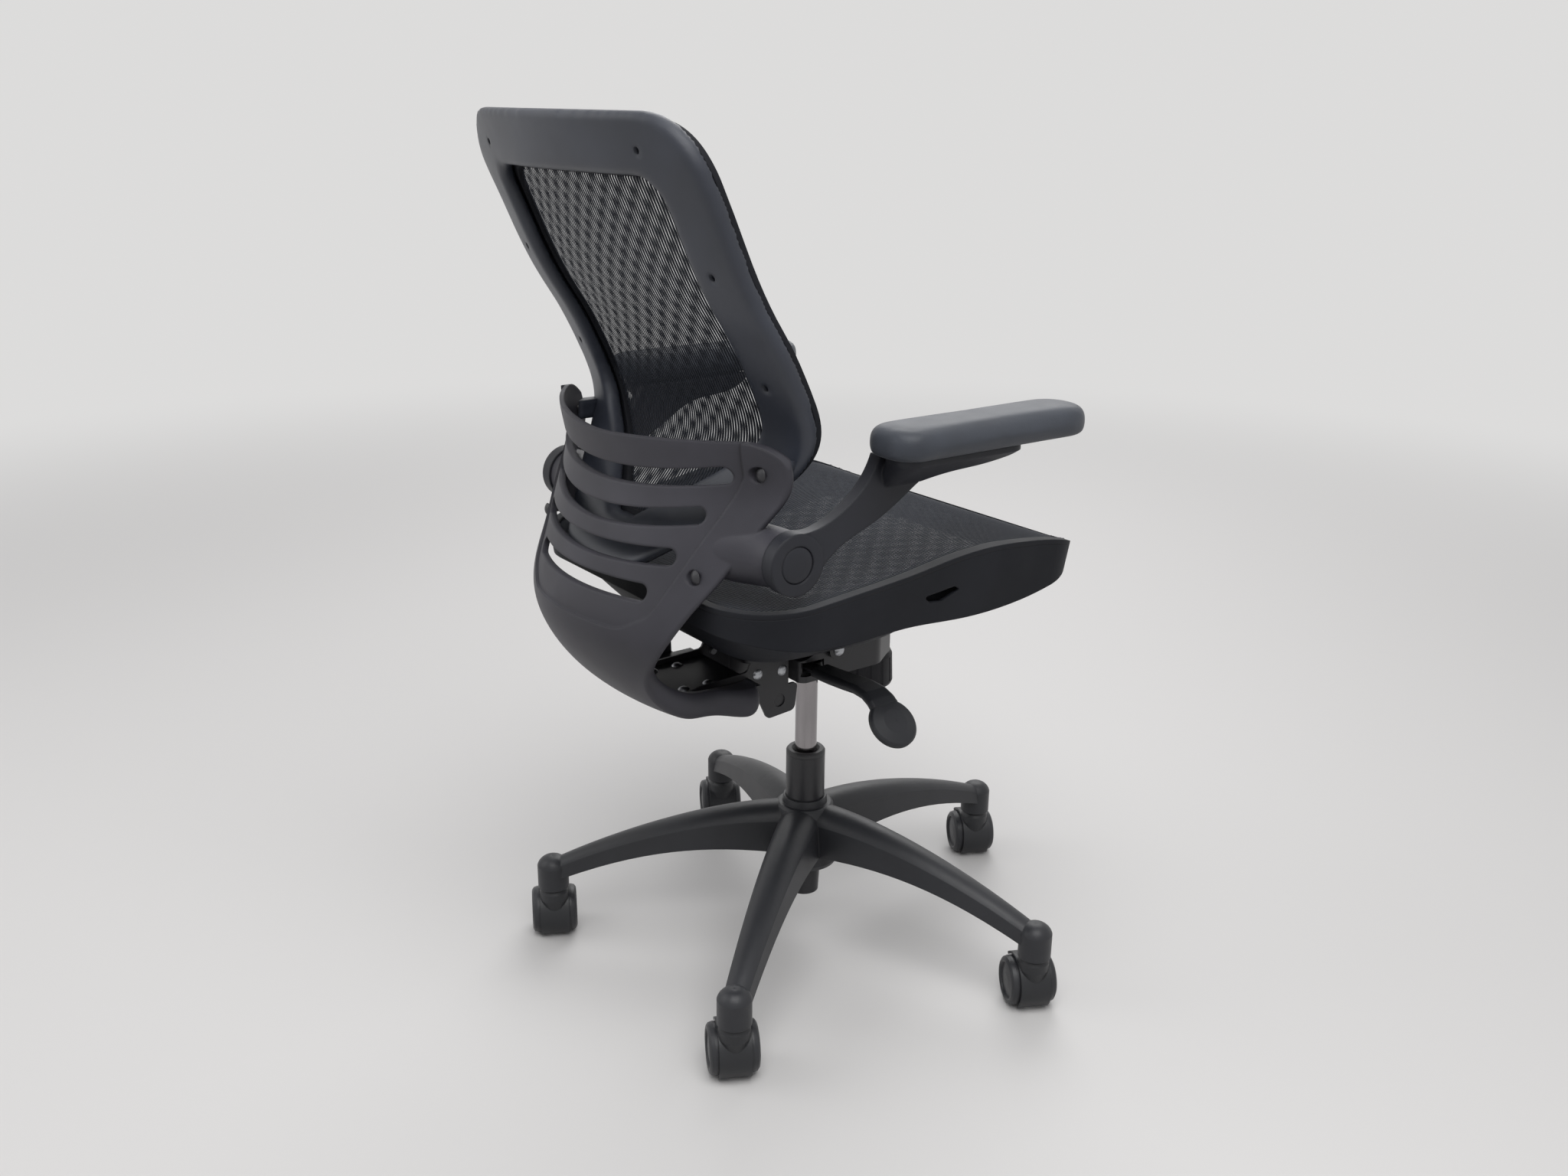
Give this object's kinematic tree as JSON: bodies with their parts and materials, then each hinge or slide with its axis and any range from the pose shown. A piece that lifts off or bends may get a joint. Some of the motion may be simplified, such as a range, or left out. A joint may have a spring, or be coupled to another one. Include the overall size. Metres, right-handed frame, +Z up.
{
  "type": "office chair",
  "caption": "Swivel task chair with a net seat and back, a slotted carrier shell, flip-up padded arms, a gas lift and a star base on twin-wheel casters.",
  "frame": {"origin": "on the floor, on the axis of the gas column", "axes": "+Z up, -Y the way the sitter faces, +X towards the sitter's left"},
  "size_m": [0.6999, 0.721, 1.039],
  "materials": {
    "base_plastic": "fine-grained black nylon",
    "caster_plastic": "satin black",
    "wheel_plastic": "satin black",
    "sleeve_plastic": "plain",
    "column_paint": "satin black powder coat",
    "chrome": "polished",
    "steel": "turned",
    "zinc_bolts": "zinc plated",
    "mech_paint": "satin black powder coat",
    "lever_plastic": "fine-grained dark grey",
    "seat_plastic": "fine-grained black",
    "carrier_plastic": "satin black",
    "net": "black woven net",
    "frame_plastic": "fine-grained black",
    "shell_plastic": "fine-grained charcoal",
    "arm_plastic": "fine-grained dark grey",
    "pad_foam": "soft matt skin over foam"
  },
  "bodies": {
    "base": {"base_star": "base_plastic", "stem_sleeves": "sleeve_plastic", "column_tube": "column_paint", "column_bushing": "sleeve_plastic", "thrust_bearing": "steel"},
    "rod": {"gas_rod": "steel", "retaining_clip": "steel"},
    "lift": {"gas_cylinder": "chrome", "taper_socket": "column_paint", "mech_housing": "mech_paint", "pivot_bushes": "sleeve_plastic", "tilt_spring": "steel"},
    "seat_back": {"pivot_bolts": "zinc_bolts", "seat_plate": "mech_paint", "back_bracket": "mech_paint", "bracket_bolts": "zinc_bolts", "seat_frame": "seat_plastic", "seat_bolts": "zinc_bolts", "seat_carrier": "carrier_plastic", "seat_mesh": "net", "back_frame": "frame_plastic", "back_screws": "zinc_bolts", "back_carrier": "carrier_plastic", "back_mesh": "net", "back_shell": "shell_plastic", "shell_bolts": "zinc_bolts", "back_links": "frame_plastic", "arm_pins": "steel"},
    "arm_right": {"arm_support_right": "arm_plastic", "arm_cap_right": "arm_plastic", "arm_pad_right": "pad_foam"},
    "arm_left": {"arm_support_left": "arm_plastic", "arm_cap_left": "arm_plastic", "arm_pad_left": "pad_foam"},
    "lock": {"lock_slider": "steel"},
    "lever": {"lever_arm": "mech_paint", "lever_paddle": "lever_plastic"},
    "valve": {"valve_button": "steel"},
    "knob": {"tension_knob": "base_plastic", "tension_bolt": "steel"},
    "caster_1": {"caster_1_hood": "caster_plastic", "caster_1_pins": "steel"},
    "caster_1_wheel_a": {"caster_1_wheel_a": "wheel_plastic"},
    "caster_1_wheel_b": {"caster_1_wheel_b": "wheel_plastic"},
    "caster_2": {"caster_2_hood": "caster_plastic", "caster_2_pins": "steel"},
    "caster_2_wheel_a": {"caster_2_wheel_a": "wheel_plastic"},
    "caster_2_wheel_b": {"caster_2_wheel_b": "wheel_plastic"},
    "caster_3": {"caster_3_hood": "caster_plastic", "caster_3_pins": "steel"},
    "caster_3_wheel_a": {"caster_3_wheel_a": "wheel_plastic"},
    "caster_3_wheel_b": {"caster_3_wheel_b": "wheel_plastic"},
    "caster_4": {"caster_4_hood": "caster_plastic", "caster_4_pins": "steel"},
    "caster_4_wheel_a": {"caster_4_wheel_a": "wheel_plastic"},
    "caster_4_wheel_b": {"caster_4_wheel_b": "wheel_plastic"},
    "caster_5": {"caster_5_hood": "caster_plastic", "caster_5_pins": "steel"},
    "caster_5_wheel_a": {"caster_5_wheel_a": "wheel_plastic"},
    "caster_5_wheel_b": {"caster_5_wheel_b": "wheel_plastic"}
  },
  "joints": [
    {"name": "seat_swivel", "type": "hinge", "parent": "base", "child": "rod", "pos_m": [0, 0, 0.3], "axis": [0, 0, 1], "continuous": true},
    {"name": "height", "type": "slide", "parent": "rod", "child": "lift", "axis": [0, 0, 1], "range_m": [-0.095, 0.005]},
    {"name": "recline", "type": "hinge", "parent": "lift", "child": "seat_back", "pos_m": [0, 0.006, 0.421], "axis": [-1, 0, 0], "range_deg": [0, 14], "stiffness_Nm_per_rad": 120, "springref_deg": -20.05, "deforming": ["tilt_spring"]},
    {"name": "arm_right_flip", "type": "hinge", "parent": "seat_back", "child": "arm_right", "pos_m": [-0.2325, 0.201, 0.6075], "axis": [-1, 0, 0], "range_deg": [0, 95]},
    {"name": "arm_left_flip", "type": "hinge", "parent": "seat_back", "child": "arm_left", "pos_m": [0.2325, 0.201, 0.6075], "axis": [-1, 0, 0], "range_deg": [0, 95]},
    {"name": "tilt_lock", "type": "slide", "parent": "lift", "child": "lock", "axis": [-1, 0, 0], "range_m": [0, 0.008]},
    {"name": "lever_lift", "type": "hinge", "parent": "lock", "child": "lever", "pos_m": [-0.038, 0.04, 0.403], "axis": [0, 1, 0], "range_deg": [0, 4.5], "stiffness_Nm_per_rad": 4, "springref_deg": -5.73},
    {"name": "valve_press", "type": "slide", "parent": "lift", "child": "valve", "axis": [0, 0, -1], "range_m": [0, 0.004]},
    {"name": "tension_turn", "type": "hinge", "parent": "lift", "child": "knob", "pos_m": [0, -0.09, 0.36], "axis": [0, 0, 1], "range_deg": [-720, 720]},
    {"name": "caster_1_swivel", "type": "hinge", "parent": "base", "child": "caster_1", "pos_m": [0.31691, -0.08456, 0.08], "axis": [0, 0, 1], "continuous": true},
    {"name": "caster_1_wheel_a_roll", "type": "hinge", "parent": "caster_1", "child": "caster_1_wheel_a", "pos_m": [0.33118, -0.0918, 0.03], "axis": [0.4524, 0.8918, 0], "continuous": true},
    {"name": "caster_1_wheel_b_roll", "type": "hinge", "parent": "caster_1", "child": "caster_1_wheel_b", "pos_m": [0.33118, -0.0918, 0.03], "axis": [0.4524, 0.8918, 0], "continuous": true},
    {"name": "caster_2_swivel", "type": "hinge", "parent": "base", "child": "caster_2", "pos_m": [0.17835, 0.27527, 0.08], "axis": [0, 0, 1], "continuous": true},
    {"name": "caster_2_wheel_a_roll", "type": "hinge", "parent": "caster_2", "child": "caster_2_wheel_a", "pos_m": [0.19262, 0.26803, 0.03], "axis": [0.4524, 0.8918, 0], "continuous": true},
    {"name": "caster_2_wheel_b_roll", "type": "hinge", "parent": "caster_2", "child": "caster_2_wheel_b", "pos_m": [0.19262, 0.26803, 0.03], "axis": [0.4524, 0.8918, 0], "continuous": true},
    {"name": "caster_3_swivel", "type": "hinge", "parent": "base", "child": "caster_3", "pos_m": [-0.20668, 0.25469, 0.08], "axis": [0, 0, 1], "continuous": true},
    {"name": "caster_3_wheel_a_roll", "type": "hinge", "parent": "caster_3", "child": "caster_3_wheel_a", "pos_m": [-0.19242, 0.24745, 0.03], "axis": [0.4524, 0.8918, 0], "continuous": true},
    {"name": "caster_3_wheel_b_roll", "type": "hinge", "parent": "caster_3", "child": "caster_3_wheel_b", "pos_m": [-0.19242, 0.24745, 0.03], "axis": [0.4524, 0.8918, 0], "continuous": true},
    {"name": "caster_4_swivel", "type": "hinge", "parent": "base", "child": "caster_4", "pos_m": [-0.30609, -0.11786, 0.08], "axis": [0, 0, 1], "continuous": true},
    {"name": "caster_4_wheel_a_roll", "type": "hinge", "parent": "caster_4", "child": "caster_4_wheel_a", "pos_m": [-0.29182, -0.1251, 0.03], "axis": [0.4524, 0.8918, 0], "continuous": true},
    {"name": "caster_4_wheel_b_roll", "type": "hinge", "parent": "caster_4", "child": "caster_4_wheel_b", "pos_m": [-0.29182, -0.1251, 0.03], "axis": [0.4524, 0.8918, 0], "continuous": true},
    {"name": "caster_5_swivel", "type": "hinge", "parent": "base", "child": "caster_5", "pos_m": [0.01751, -0.32753, 0.08], "axis": [0, 0, 1], "continuous": true},
    {"name": "caster_5_wheel_a_roll", "type": "hinge", "parent": "caster_5", "child": "caster_5_wheel_a", "pos_m": [0.03178, -0.33477, 0.03], "axis": [0.4524, 0.8918, 0], "continuous": true},
    {"name": "caster_5_wheel_b_roll", "type": "hinge", "parent": "caster_5", "child": "caster_5_wheel_b", "pos_m": [0.03178, -0.33477, 0.03], "axis": [0.4524, 0.8918, 0], "continuous": true}
  ],
  "couplings": [
    {"joint": "valve_press", "follows": "lever_lift", "m_per_rad": 0.05}
  ]
}
